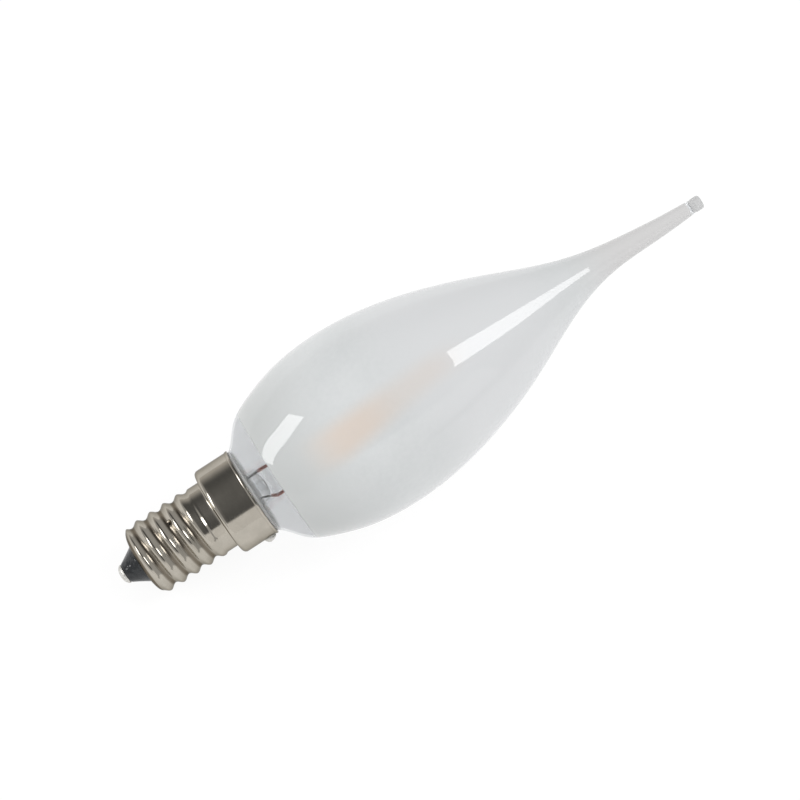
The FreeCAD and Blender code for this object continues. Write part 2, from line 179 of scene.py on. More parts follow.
cap = {
    "footZ": 4.30, "footR": 3.75, "footRise": 2.50, "footOver": 0.35, "footBlend": 0.40, "mouthR": 3.50,
    "crestR": 6.925, "rootR": 6.15, "pitch": 2.822, "grooveNarrow": 0.9,
    "grooveFromZ": 3.40, "grooveFromDeg": 105.0, "grooveTurns": 4.95, "grooveFade": 0.30,
    "collarZ": 18.20, "collarFade": 0.35, "collarR": 6.65, "threadTopZ": 18.60, "plainFromZ": 18.80,
    "shoulderZ": 20.75, "shoulderFillet": 0.30, "skirtR": 8.50, "skirtBend": 0.85,
    "rimZ": 27.90, "lip": 0.12, "lipH": 0.55, "wall": 0.30, "sides": 192,
    "pitZ": 12.86, "pitDeg": 173.5, "pitR": 0.34, "pitDepth": 0.30,
}


def threadRadius(z, around):
    # crest radius less a cosine groove that climbs one pitch a turn and fades out at its end; the collar
    # takes over above, and a smooth least of the two joins it to the rounded foot below; less a round pit
    turns = around / (2 * np.pi) - cap["grooveFromDeg"] / 360
    phase = (z - cap["grooveFromZ"]) / cap["pitch"] - turns
    nearest = np.round(phase) + turns
    fade = step((cap["grooveTurns"] + cap["grooveFade"] - nearest) / cap["grooveFade"])
    groove = (0.5 + 0.5 * np.cos(2 * np.pi * phase)) ** cap["grooveNarrow"] * fade
    thread = cap["crestR"] - (cap["crestR"] - cap["rootR"]) * groove
    threaded = step((cap["collarZ"] + cap["collarFade"] - z) / (2 * cap["collarFade"]))
    thread = cap["collarR"] + (thread - cap["collarR"]) * threaded
    reach = cap["crestR"] + cap["footOver"] - cap["footR"]
    rounded = cap["footR"] + reach * quarterRound((z - cap["footZ"]) / cap["footRise"])
    blend = cap["footBlend"]
    share = np.clip(0.5 + 0.5 * (thread - rounded) / blend, 0, 1)
    radius = thread + (rounded - thread) * share - blend * share * (1 - share)
    aside = (around - np.radians(cap["pitDeg"])) * radius
    pit = np.exp(-((aside**2 + (z - cap["pitZ"]) ** 2) / cap["pitR"] ** 2) ** 1.5)
    return radius - cap["pitDepth"] * pit


def capSurface():
    # outline up the outside and down the inside; the stretch below the collar follows the thread
    around = aroundSteps(cap["sides"])
    low, high, plain = cap["footZ"], cap["threadTopZ"], cap["plainFromZ"]
    collar, fillet, bend, wall = cap["collarR"], cap["shoulderFillet"], cap["skirtBend"], cap["wall"]
    shoulder, rim, skirt, lip = cap["shoulderZ"], cap["rimZ"], cap["skirtR"], cap["lip"]
    outZ = low + (high - low) * np.linspace(0, 1, 110)[:, None] ** 1.12  # closer together towards the foot
    inZ = np.linspace(high, low + 0.02, 70)[:, None]
    outside = turned(threadRadius(outZ, around), outZ, around)
    upper = revolved(np.vstack([
        run((collar, plain), (collar, shoulder - fillet), 6),
        arc((collar + fillet, shoulder - fillet), (-fillet, fillet), 0, 90, 6),
        run((collar + fillet, shoulder), (skirt - bend, shoulder), 4),
        arc((skirt - bend, shoulder + bend), (bend, bend), -90, 0, 12),
        run((skirt, shoulder + bend), (skirt, rim - cap["lipH"]), 12),
        arc((skirt, rim - lip * 2), (lip, cap["lipH"] - lip * 2), -90, 0, 6),
        arc((skirt, rim - lip), (lip, lip), 0, 90, 5),
        run((skirt, rim), (skirt - wall, rim), 3),
        run((skirt - wall, rim), (skirt - wall, shoulder + bend), 6),
        arc((skirt - bend, shoulder + bend), (bend - wall, bend - wall), 0, -90, 6),
        run((skirt - bend, shoulder + wall), (collar - wall, shoulder + wall), 3),
        run((collar - wall, shoulder + wall), (collar - wall, plain), 4),
    ]), cap["sides"])
    inside = turned(np.maximum(threadRadius(inZ, around) - wall, cap["mouthR"]), inZ, around)
    return np.vstack([outside, upper, inside])


addSurface("cap", capSurface(), ["cap_shell"], ring=True)

foot = {
    "topZ": 7.60, "roundTopZ": 6.90, "coneZ": 4.30, "coneR": 3.76, "hollow": 0.06,
    "tipZ": 1.10, "tipR": 1.84, "tipRound": 0.12, "bore": 0.95, "sides": 96,
}


def footSurface():
    # black glass: round the edge of the tip, up the flank of the cone, hollowed by half a sine wave, over the
    # round that fills the cap, and back down the bore
    edge, bore, cone = foot["tipRound"], foot["bore"], foot["coneR"]
    low, middle, high, top = foot["tipZ"], foot["coneZ"], foot["roundTopZ"], foot["topZ"]
    inner = cap["rootR"] - cap["wall"]
    t = np.linspace(0, 1, 26)[2:]
    flankR = foot["tipR"] + (cone - foot["tipR"]) * t - foot["hollow"] * np.sin(np.pi * t)
    return revolved(np.vstack([
        arc((foot["tipR"] - edge, low + edge), (edge, edge), -90, 0, 5),
        np.column_stack([flankR, low + (middle - low) * t]),
        arc((cone, high), (inner - cone, high - middle), -90, 0, 10)[1:],
        run((inner, high), (inner, top), 3),
        run((inner, top), (bore, top), 4),
        run((bore, top), (bore, low), 6),
    ]), foot["sides"])


addSurface("black_foot", footSurface(), ["cap_insulator"], ring=True)

contact = {
    "headR": 1.74, "headZ": 0.70, "headTop": 1.10, "headSlope": 0.05, "edge": 0.10,
    "tubeR": 0.94, "boreR": 0.50, "tubeTop": 4.80,
    "dropR": 1.86, "dropH": 1.02, "dropZ": 1.03, "dropLump": 0.015, "plugR": 0.49, "plugTop": 2.10,
    "sides": 64,
}


def eyeletSurface():
    # flat head with a rounded edge, then a tube through the glass
    head, edge, low, high = contact["headR"], contact["edge"], contact["headZ"], contact["headTop"]
    bore, tube, top = contact["boreR"], contact["tubeR"], contact["tubeTop"]
    return revolved(np.vstack([
        run((bore, low), (head - edge, low), 4),
        arc((head - edge, low + edge), (edge, edge), -90, 90, 12),
        run((head - edge, high - contact["headSlope"]), (tube, high), 4),
        run((tube, high), (tube, top), 4),
        run((tube, top), (bore, top), 2),
        run((bore, top), (bore, low), 4),
    ]), contact["sides"])


def lumps(points, size):
    # three slow waves across each other, for a surface that set unevenly
    x, y, z = points[..., 0], points[..., 1], points[..., 2]
    waves = np.sin(3.1 * x + 1.3) * np.cos(2.7 * y) + np.sin(4.3 * y - 2.1 * z) + np.cos(3.7 * z + 1.9 * x)
    return size * waves


def dropSurface():
    # a dome over the head of the eyelet, radius as the cosine to the power 0.9 and height as the sine, lumpy
    # between its tip and its edge, with a short plug up the bore
    turn = np.radians(np.linspace(-90, 0, 28))[:, None]
    radius = contact["dropR"] * np.cos(turn) ** 0.9
    height = contact["dropZ"] + contact["dropH"] * np.sin(turn)
    dome = turned(radius, height, aroundSteps(contact["sides"]))
    lift = (lumps(dome, contact["dropLump"]) * np.cos(turn) ** 0.5 * -np.sin(turn))[..., None]
    dome = dome * (1 + lift * [1, 1, 0]) + np.abs(lift) * [0, 0, 1]
    plugR, plugTop = contact["plugR"], contact["plugTop"]
    plug = np.array([[plugR, contact["dropZ"]], [plugR, plugTop], [0, plugTop]])
    return np.vstack([dome, revolved(plug, contact["sides"])])


addSurface("contact_eyelet", eyeletSurface(), ["centre_contact"], ring=True)
addSurface("contact_solder", dropSurface(), ["centre_solder"])

rimSolder = {
    "deg": 295.0, "middleR": 8.42, "middleZ": 26.20, "outR": 0.93, "sideR": 1.18, "upR": 1.12,
    "lump": 0.055, "lumpScale": 1.2, "sunk": 0.10, "topH": 1.10, "sides": 64, "rows": 40,
}


def rimSolderSurface():
    # a lumpy drop on the rim: an ellipsoid with slow waves, cut off just inside the sheet and at its top
    turn = np.radians(np.linspace(-90, 90, rimSolder["rows"]))[:, None]
    ball = turned(np.cos(turn), np.sin(turn), aroundSteps(rimSolder["sides"]))
    ball = ball * (1 + lumps(ball * rimSolder["lumpScale"], rimSolder["lump"])[..., None])
    out = np.maximum(ball[..., 0] * rimSolder["outR"], -rimSolder["sunk"])
    aside = ball[..., 1] * rimSolder["sideR"]
    up = np.minimum(ball[..., 2] * rimSolder["upR"], rimSolder["topH"])
    return aimed(rimSolder["middleR"] + out, aside, rimSolder["middleZ"] + up, rimSolder["deg"])


addSurface("rim_solder", rimSolderSurface(), ["side_solder"], sharp=80)

# glass

envelope = {
    "wallNeck": 0.60, "wallTail": 0.50, "ringPoints": 40, "ringSlack": 0.006, "rows": 260, "sides": 160,
    "hollowToZ": 120.70, "bubbleGap": 0.10, "bubbleTopZ": 121.90,
    "beadR": 1.31, "beadLen": 2.34, "beadWaist": 0.10, "beadCloses": 0.45, "beadSquare": 2.6,
}


def envelopeRings():
    # the frame's outer rings, lowest first: height, centre and radius of each level that has a whole ring
    points = np.unique(unplaced(nodePoints("glass_envelope")).round(3), axis=0)
    rows = []
    for height in np.unique(points[:, 2].round(2)):
        ring = points[np.abs(points[:, 2] - height) < envelope["ringSlack"], :2]
        middle = (ring.max(0) + ring.min(0)) / 2
        if len(ring) >= envelope["ringPoints"]:
            rows.append([height, *middle, np.median(np.linalg.norm(ring - middle, axis=1))])
    return np.array(rows)


def beadOutline(endR, endZ):
    # a solid bead: a slight waist in its first fifth, a smooth step to its full radius in its first third,
    # and a closing end, the root of 1 less a power of the way through it
    t = np.linspace(0, 1, 40)[1:]
    waist = envelope["beadWaist"] * np.sin(np.pi * np.clip(t * 5, 0, 1))
    swell = (envelope["beadR"] - endR) * step(t * 3)
    closing = np.clip((t - envelope["beadCloses"]) / (1 - envelope["beadCloses"]), 0, 1)
    radius = (endR - waist + swell) * np.sqrt(1 - closing ** envelope["beadSquare"])
    return radius, endZ + envelope["beadLen"] * np.sin(t * np.pi / 2)


def envelopeSurface():
    # outside: smooth curves through the frame's rings, then the bead; inside: the same less the wall, closed
    # by a half ellipse inside the bead
    rings = envelopeRings()
    knots = wayAlong(rings[:, [0, 3]])
    line = smoothCurve(knots, rings, np.linspace(0, knots[-1], envelope["rows"]))
    z, middle, radius = line[:, 0], line[:, 1:3], line[:, 3]
    wall = envelope["wallNeck"] + (envelope["wallTail"] - envelope["wallNeck"]) * (z - z[0]) / (z[-1] - z[0])
    beadR, beadZ = beadOutline(radius[-1], z[-1])
    hollow = np.flatnonzero(z < envelope["hollowToZ"])[::2]
    insideR, insideZ, insideAt = (radius - wall)[hollow], z[hollow], middle[hollow]
    t = np.linspace(0, 1, 12)
    bubbleR = insideR[-1] * np.sqrt(1 - t**2)
    bubbleZ = np.linspace(insideZ[-1] + envelope["bubbleGap"], envelope["bubbleTopZ"], len(t))
    bubbleAt, beadAt = np.tile(insideAt[-1], (len(t), 1)), np.tile(middle[-1], (len(beadZ), 1))
    profileR = np.concatenate([bubbleR[::-1], insideR[::-1], radius, beadR])
    profileZ = np.concatenate([bubbleZ[::-1], insideZ[::-1], z, beadZ])
    profileAt = np.vstack([bubbleAt, insideAt[::-1], middle, beadAt])
    grid = turned(profileR[:, None], profileZ[:, None], aroundSteps(envelope["sides"]))
    grid[..., :2] += profileAt[:, None]
    return grid


addSurface("envelope", envelopeSurface(), ["glass_envelope"], sharp=60)

stem = {
    "deg": 115.0, "footZ": 22.55, "sealZ": 23.40, "neckR": 7.40, "flareR": 6.72, "mouthR": 6.56,
    "tubeR": 3.25, "wall": 0.60, "tubeZ": 27.30, "pinchZ": 30.20, "flatZ": 32.60, "topZ": 38.60,
    "edge": 0.70, "topR": 1.65, "halfT": 1.15, "halfW": 3.35, "square": 0.70,
    "hollowTopZ": 30.70, "domeH": 1.20, "hollowFlat": 0.55, "sides": 128,
}


def stemSurface():
    # outline down the hollow, out under the flare and up the outside; above the pinch each level turns into a
    # rounded oblong, wide across the leads and thin through them, by its cosine and sine to a power below 1
    flare, mouth, neck, tube = stem["flareR"], stem["mouthR"], stem["neckR"], stem["tubeR"]
    footZ, sealZ, tubeZ = stem["footZ"], stem["sealZ"], stem["tubeZ"]
    pinchZ, topZ, edge = stem["pinchZ"], stem["topZ"], stem["edge"]
    inner, hollowTop = tube - stem["wall"], stem["hollowTopZ"]
    domeZ = hollowTop - stem["domeH"]
    inside = np.vstack([
        [(0, hollowTop)],
        arc((0, domeZ), (inner, stem["domeH"]), 85, 0, 10),
        run((inner, domeZ), (inner, tubeZ), 10),
        arc((mouth, tubeZ), (mouth - inner, tubeZ - footZ), 180, 270, 26),
    ])
    outside = np.vstack([
        run((mouth, footZ), (neck, footZ), 4),
        run((neck, footZ), (neck, sealZ), 3),
        run((neck, sealZ), (flare, sealZ), 3),
        arc((flare, tubeZ), (flare - tube, tubeZ - sealZ), -90, -180, 26),
        run((tube, tubeZ), (tube, pinchZ), 12),
        np.linspace((tube, pinchZ), (tube, topZ - edge), 40),
        arc((tube - edge, topZ - edge), (edge, edge), 0, 90, 8),
        [(stem["topR"], topZ), (0, topZ)],
    ])
    path = np.vstack([inside, outside])
    r, z = path[:, :1], path[:, 1:]
    flat = step((z - pinchZ) / (stem["flatZ"] - pinchZ))
    flat[:len(inside)] *= stem["hollowFlat"]
    power = 1 - (1 - stem["square"]) * flat
    wide = 1 + (stem["halfW"] / tube - 1) * flat
    thin = 1 + (stem["halfT"] / tube - 1) * flat
    cosine, sine = np.cos(aroundSteps(stem["sides"])), np.sin(aroundSteps(stem["sides"]))
    u = r * wide * np.sign(cosine) * np.abs(cosine) ** power
    v = r * thin * np.sign(sine) * np.abs(sine) ** power
    return aimed(u, v, z, stem["deg"])


addSurface("stem", stemSurface(), ["stem_glass"], sharp=60)

exhaust = {
    "r": 1.20, "wall": 0.45, "tipZ": 18.60, "tipH": 2.40, "hollowFromZ": 20.10, "hollowH": 1.80,
    "topZ": 30.40, "sides": 48,
}


def exhaustSurface():
    # thin tube drawn to a closed tip at its lower end; the radius of the tip, and of its hollow, grows with
    # the root of the height
    r, inner, top = exhaust["r"], exhaust["r"] - exhaust["wall"], exhaust["topZ"]
    neck = exhaust["tipZ"] + exhaust["tipH"]
    t = np.linspace(0, 1, 16)[:, None]
    path = np.vstack([
        np.hstack([r * np.sqrt(t) * (0.55 + 0.45 * t), exhaust["tipZ"] + exhaust["tipH"] * t]),
        run((r, neck + 0.3), (r, top), 16),
        run((r, top), (inner, top), 3),
        run((inner, top), (inner, neck + 1.0), 16),
        np.hstack([inner * np.sqrt(1 - t), exhaust["hollowFromZ"] + exhaust["hollowH"] * (1 - t)]),
    ])
    return revolved(path, exhaust["sides"])


addSurface("exhaust", exhaustSurface(), ["exhaust_tube"], sharp=60)

# wires in the neck: the angle of each about the axis, and its stops as distance from the axis and height

neckWires = {
    "upper_outer_lead": {
        "deg": 115.0, "radius": 0.21, "slot": "tinned_wire", "node": "outer_lead_a",
        "stops": [(2.45, 16.40), (2.30, 21.0), (2.42, 26.0), (2.45, 30.7)]},
    "lower_outer_lead": {
        "deg": 295.0, "radius": 0.21, "slot": "tinned_wire", "node": "outer_lead_b",
        "stops": [(2.45, 16.40), (1.90, 22.5), (1.66, 27.5), (2.30, 30.4)]},
    "upper_seal_wire": {
        "deg": 115.0, "radius": 0.29, "slot": "copper_wire", "node": "seal_wires",
        "stops": [(2.45, 30.5), (2.50, 32.0), (2.45, 35.6)]},
    "lower_seal_wire": {
        "deg": 295.0, "radius": 0.29, "slot": "copper_wire", "node": "seal_wires",
        "stops": [(2.25, 30.3), (2.85, 31.4), (2.85, 33.0), (2.45, 35.6)]},
}


wireMesh = {"steps": 60, "sides": 16, "endRound": 0.6}


def wireSurface(stops, radius):
    # a round wire: the smooth curve through the stops, with a circle square to it at each step, and ends
    # rounded over a share of the radius
    knots = wayAlong(stops)
    s = np.linspace(0, knots[-1], wireMesh["steps"])
    line = smoothCurve(knots, stops, s)
    heading = unit(np.gradient(line, axis=0))
    aside = unit(np.cross(heading, [0.31, 0.95, 0.05]))  # from a direction that no wire follows
    other = np.cross(heading, aside)
    size = radius * quarterRound(np.minimum(s, knots[-1] - s) / (wireMesh["endRound"] * radius))
    turn = aroundSteps(wireMesh["sides"])[..., None]
    circle = aside[:, None] * np.cos(turn) + other[:, None] * np.sin(turn)
    return line[:, None] + size[:, None, None] * circle


for name, wire in neckWires.items():
    reach, height = np.array(wire["stops"]).T
    stops = aimed(reach, 0 * reach, height, wire["deg"])
    addSurface(name, wireSurface(stops, wire["radius"]), [wire["node"]])

# shader helpers


class Value:  # a socket in an expression: each operator adds one Math node
    def __init__(self, tree, socket):
        self.tree = tree
        self.socket = socket

    def __add__(self, other):
        return self.tree.maths("ADD", self, other)

    def __sub__(self, other):
        return self.tree.maths("SUBTRACT", self, other)

    def __rsub__(self, other):
        return self.tree.maths("SUBTRACT", other, self)

    def __mul__(self, other):
        return self.tree.maths("MULTIPLY", self, other)

    def __pow__(self, other):
        return self.tree.maths("POWER", self, other)

    def __abs__(self):
        return self.tree.maths("ABSOLUTE", self)

    __radd__ = __add__
    __rmul__ = __mul__


class Made:  # a node just added: made["Fac"] is that output, ready for an expression
    def __init__(self, tree, node):
        self.tree = tree
        self.node = node

    def __getitem__(self, output):
        return Value(self.tree, self.node.outputs[output])


class Tree:  # the nodes of one material, or of the world
    def __init__(self, owner):
        owner.use_nodes = True
        self.nodes = owner.node_tree.nodes
        self.links = owner.node_tree.links
        self.nodes.clear()

    def node(self, kind, settings=None, inputs=None):
        # type, settings first, then the values or links of its sockets
        node = self.nodes.new(kind)
        for key, value in (settings or {}).items():
            setattr(node, key, value)
        for key, value in (inputs or {}).items():
            if isinstance(value, Value):
                self.links.new(value.socket, node.inputs[key])
            else:
                node.inputs[key].default_value = value
        return Made(self, node)

    def maths(self, operation, *parts):
        return self.node("ShaderNodeMath", {"operation": operation}, dict(enumerate(parts)))["Value"]

    def vector(self, operation, inputs, output="Vector"):
        return self.node("ShaderNodeVectorMath", {"operation": operation}, inputs)[output]

    def blend(self, factor, a, b):  # colour a where the factor is 0, colour b where it is 1
        a, b = (colour if isinstance(colour, Value) else (*colour, 1) for colour in (a, b))
        inputs = {"Factor": factor, 6: a, 7: b}  # the node's two colour sockets
        return self.node("ShaderNodeMix", {"data_type": "RGBA"}, inputs)[2]

    def clamp(self, value, low=0.0, high=1.0):  # straight ramp from 0 at low to 1 at high
        inputs = {"Value": value, "From Min": low, "From Max": high}
        return self.node("ShaderNodeMapRange", {"clamp": True}, inputs)["Result"]

    def ease(self, value, low, high):  # smooth ramp from 0 at low to 1 at high
        inputs = {"Value": value, "From Min": low, "From Max": high}
        return self.node("ShaderNodeMapRange", {"interpolation_type": "SMOOTHSTEP"}, inputs)["Result"]

    def surface(self, **inputs):  # a Principled shader, its sockets named with no spaces
        named = {"baseColor": "Base Color", "coat": "Coat Weight", "coatRoughness": "Coat Roughness",
                 "transmission": "Transmission Weight", "ior": "IOR", "specular": "Specular IOR Level",
                 "edgeTint": "Specular Tint"}
        values = {named.get(key, key.capitalize()): value for key, value in inputs.items()}
        for key, value in values.items():
            if isinstance(value, tuple):
                values[key] = (*value, 1)
        return self.node("ShaderNodeBsdfPrincipled", None, values)["BSDF"]

    def mix(self, factor, a, b):  # shader a where the factor is 0, shader b where it is 1
        return self.node("ShaderNodeMixShader", None, {0: factor, 1: a, 2: b})["Shader"]

    def through(self, colour=(1.0, 1.0, 1.0)):  # lets what is behind show straight through
        return self.node("ShaderNodeBsdfTransparent", None, {"Color": (*colour, 1)})["BSDF"]

    def seen(self):
        # 1 for rays of the camera and those reflected or refracted to it, 0 for the light falling on things
        path = self.node("ShaderNodeLightPath")
        direct = self.maths("MAXIMUM", path["Is Camera Ray"], path["Is Glossy Ray"])
        return self.maths("MAXIMUM", direct, path["Is Transmission Ray"])


class Finish(Tree):  # one of the bulb's materials: its tree knows the place on the bulb in millimetres
    def __init__(self, name):
        self.material = bpy.data.materials.new(name)
        super().__init__(self.material)
        position = self.node("ShaderNodeTexCoord")["Object"]
        offset = self.vector("SUBTRACT", {0: position, 1: contactTip.tolist()})
        self.place = self.vector("SCALE", {0: offset, "Scale": 1000.0})
        self.x, self.y, self.z = (
            self.vector("DOT_PRODUCT", {0: self.place, 1: way.tolist()}, "Value") for way in directions)

    def towards(self, degrees):  # distance from the axis in a direction about it
        return self.x * float(np.cos(np.radians(degrees))) + self.y * float(np.sin(np.radians(degrees)))

    def stretched(self, x, y, z):  # the place with each of its three parts scaled
        parts = {"X": self.x * x, "Y": self.y * y, "Z": self.z * z}
        return self.node("ShaderNodeCombineXYZ", None, parts)["Vector"]

    def noise(self, at, scale, detail=3.0, rough=0.5):
        inputs = {"Vector": at, "Scale": scale, "Detail": detail, "Roughness": rough}
        return self.node("ShaderNodeTexNoise", None, inputs)["Fac"]

    def bump(self, height, distance, strength=1.0):
        inputs = {"Height": height, "Distance": distance, "Strength": strength}
        return self.node("ShaderNodeBump", None, inputs)["Normal"]

    def done(self, shader, *names):  # ends the tree and gives its material to frame nodes or new pieces
        self.node("ShaderNodeOutputMaterial", None, {"Surface": shader})
        for name in names:
            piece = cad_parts.get(name) or bpy.data.objects[name]
            piece.data.materials.clear()
            piece.data.materials.append(self.material)


# finishes of the metal

nickel = {
    "dark": (0.44, 0.41, 0.355), "light": (0.50, 0.465, 0.405), "speckle": (0.66, 0.63, 0.58),
    # root is a painted shade colour for the roots of the thread, pit a painted black shade for the stake pit
    "root": (0.14, 0.115, 0.085), "rootR": (6.14, 6.42), "pit": (0.01, 0.01, 0.01), "pitR": (0.20, 0.34),
    "edgeTint": (0.45, 0.44, 0.42), "roughness": 0.08,
}


def nickelFinish():
    # warm plated sheet: fine turning marks around it, faint speckle, dull in the roots of the thread, where
    # painted shade darkens them, and painted shade, black, in the pit
    f = Finish("nickel")
    radius = (f.x**2 + f.y**2) ** 0.5
    turning = f.noise(f.stretched(0.25, 0.25, 9), 1.0, 4.0, 0.6)
    speckle = f.noise(f.place, 5.0, 4.0, 0.65)
    cloud = f.noise(f.place, 0.35, 3.0)
    # the roots of the thread: rougher there, and darkened by painted shade
    root = 1 - f.ease(radius, *nickel["rootR"])
    aside, ahead = f.towards(cap["pitDeg"] + 90), f.towards(cap["pitDeg"])
    fromPit = (aside**2 + (f.z - cap["pitZ"]) ** 2) ** 0.5
    fromPit = fromPit + 9 * (1 - f.clamp(ahead))  # large all over the other side of the cap
    colour = f.blend(f.clamp(cloud, 0.35, 0.7), nickel["dark"], nickel["light"])
    colour = f.blend(f.clamp(speckle, 0.55, 0.78) * 0.45, colour, nickel["speckle"])
    # painted shade: darkens the roots of the thread
    colour = f.blend(root * 0.85, colour, nickel["root"])
    # painted shade: the stake pit painted black
    colour = f.blend(1 - f.ease(fromPit, *nickel["pitR"]), colour, nickel["pit"])
    rough = nickel["roughness"] + 0.06 * turning + 0.08 * f.clamp(speckle, 0.5, 0.8) + 0.16 * root
    f.done(f.surface(
        baseColor=colour, metallic=1.0, roughness=rough, edgeTint=nickel["edgeTint"],
        normal=f.bump(turning * 0.5 + speckle * 0.5, 0.00002, 0.3)), "cap", "cap_shell")


brass = {
    "dark": (0.62, 0.47, 0.22), "light": (0.74, 0.60, 0.34), "roughness": 0.20,
    "tinned": (0.58, 0.57, 0.54), "tinnedToZ": (1.6, 2.0),
}


def brassFinish():
    # brass eyelet, its head wetted with tin all over by the solder
    f = Finish("brass")
    wear = f.noise(f.place, 2.5, 3.0)
    colour = f.blend(f.clamp(wear, 0.4, 0.65), brass["dark"], brass["light"])
    colour = f.blend(1 - f.ease(f.z, *brass["tinnedToZ"]), colour, brass["tinned"])
    rough = brass["roughness"] + 0.18 * wear
    f.done(f.surface(baseColor=colour, metallic=1.0, roughness=rough), "contact_eyelet", "centre_contact")


solder = {
    "dark": (0.58, 0.57, 0.54), "light": (0.78, 0.77, 0.74), "stain": (0.34, 0.29, 0.22), "roughness": 0.30,
}


def solderFinish():
    # dull tin: frosty grain and a few flux stains
    f = Finish("solder")
    grain = f.noise(f.place, 7.0, 4.0, 0.65)
    stain = f.noise(f.place, 1.4, 2.0)
    colour = f.blend(f.clamp(grain, 0.35, 0.7), solder["dark"], solder["light"])
    colour = f.blend(f.clamp(stain, 0.58, 0.72) * 0.5, colour, solder["stain"])
    f.done(f.surface(
        baseColor=colour, metallic=0.85, roughness=solder["roughness"] + 0.25 * grain,
        normal=f.bump(grain, 0.00008, 0.6)), "contact_solder", "rim_solder", "centre_solder", "side_solder")


wires = {
    "nickel wire": {
        "dull": (0.45, 0.43, 0.40), "bright": (0.62, 0.60, 0.56), "roughness": 0.25,
        "pieces": ["inner_lead_a", "inner_lead_b", "support_wire", "cross_wire", "strip_tabs"]},
    "tinned wire": {
        # painted shade: the tinned leads coloured near black, as dark as they look in the shade inside the
        # neck
        "dull": (0.03, 0.028, 0.026), "bright": (0.10, 0.095, 0.09), "roughness": 0.35,
        "pieces": [
            "upper_outer_lead", "lower_outer_lead", "outer_lead_a", "outer_lead_b",
            "side_wire", "centre_wire"]},
    "copper wire": {
        "dull": (0.26, 0.04, 0.02), "bright": (0.42, 0.10, 0.05), "roughness": 0.30,
        "pieces": ["upper_seal_wire", "lower_seal_wire", "seal_wires"]},
}


def wireFinish(name, wire):
    # drawn metal with faint marks along the axis
    f = Finish(name)
    marks = f.noise(f.stretched(3, 3, 0.6), 2.0, 4.0, 0.6)
    colour = f.blend(f.clamp(marks, 0.35, 0.65), wire["dull"], wire["bright"])
    rough = wire["roughness"] + 0.15 * marks
    f.done(f.surface(baseColor=colour, metallic=0.9, roughness=rough), *wire["pieces"])


nickelFinish()
brassFinish()
solderFinish()
for name, wire in wires.items():
    wireFinish(name, wire)
print("metal finishes done")

# finishes of the glass

frost = {
    "fromZ": 33.15, "soft": 0.42, "wavy": 0.30,
    "jointZ": 120.55, "jointHalf": 0.24, "jointSoft": 0.12, "beadShare": 0.70, "beadSoft": 0.10,
    "dark": (0.640, 0.660, 0.664), "light": (0.682, 0.699, 0.704),
    "neckTone": (0.525, 0.540, 0.535), "neckToneZ": (32.0, 52.0),
    "middleTone": (0.705, 0.716, 0.726), "middleRiseZ": (54.0, 70.0), "middleFallZ": (84.0, 100.0),
    "tailTone": (0.650, 0.645, 0.643), "tailToneZ": (94.0, 106.0), "beadTone": (0.62, 0.62, 0.62),
    "shadowPasses": 0.86,
}

# glow: a warm patch of painted light on the frost where the strips show through
glow = {
    "deg": 115.0, "lowZ": 46.0, "lowU": -0.9, "highZ": 66.0, "highU": 0.9, "halfLow": 3.0, "halfHigh": 2.1,
    "soft": 1.9, "fromZ": 42.5, "fullZ": 55.5, "toZ": 70.0, "fade": 5.0, "faint": 0.45, "share": 0.75,
    "colour": (0.705, 0.595, 0.510),
}

clearGlass = {
    "tint": (0.975, 0.98, 0.985), "ior": 1.45, "throughTint": (0.905, 0.910, 0.916), "shadowPasses": 0.97,
    "envelopeThin": 0.86, "seatToZ": 28.0, "seatSoft": 0.6, "seatPale": 0.65,
    "stemThin": 0.92, "stemIor": 1.045, "stemShine": (0.03, 0.30),
    "flareToZ": 27.6, "flareSoft": 1.4, "flarePale": 0.80, "pale": (0.84, 0.84, 0.83),
}


def solidGlass(f, ior, face):
    # glass that bends the view as its index says; face is its normal
    return f.surface(baseColor=clearGlass["tint"], roughness=0.0, ior=ior, transmission=1.0, normal=face)


def paleBelow(f, shader, height, soft, share):
    # pale below that height, where the glass sits in the cement, seen through the glass itself
    pale = f.surface(baseColor=clearGlass["pale"], roughness=0.5, ior=clearGlass["ior"], specular=0.3)
    return f.mix((1 - f.ease(f.z, height, height + soft)) * share, shader, pale)


def lightPasses(f, shader, share):
    # glass casts a weak shadow: this share of a lamp's light goes straight through each surface
    shadow = f.node("ShaderNodeLightPath")["Is Shadow Ray"]
    return f.mix(shadow * share, shader, f.through())


def clearGlassFinish():
    # drawn glass that bends the view little, with a shine on its turned faces and striae along the axis
    f = Finish("clear glass")
    face = f.bump(f.noise(f.stretched(1.2, 1.2, 0.10), 1.0, 2.0), 0.0003, 0.5)
    shine = f.surface(baseColor=(1.0, 1.0, 1.0), metallic=1.0, roughness=0.04, normal=face)
    turnedAway = f.node("ShaderNodeLayerWeight", None, {"Blend": 0.5})["Facing"]
    least, more = clearGlass["stemShine"]
    slight = f.mix(turnedAway**4 * more + least, solidGlass(f, clearGlass["stemIor"], face), shine)
    clear = f.mix(clearGlass["stemThin"], solidGlass(f, clearGlass["ior"], face), slight)
    clear = paleBelow(f, clear, clearGlass["flareToZ"], clearGlass["flareSoft"], clearGlass["flarePale"])
    clear = lightPasses(f, clear, clearGlass["shadowPasses"])
    f.done(clear, "stem", "exhaust", "stem_glass", "exhaust_tube")


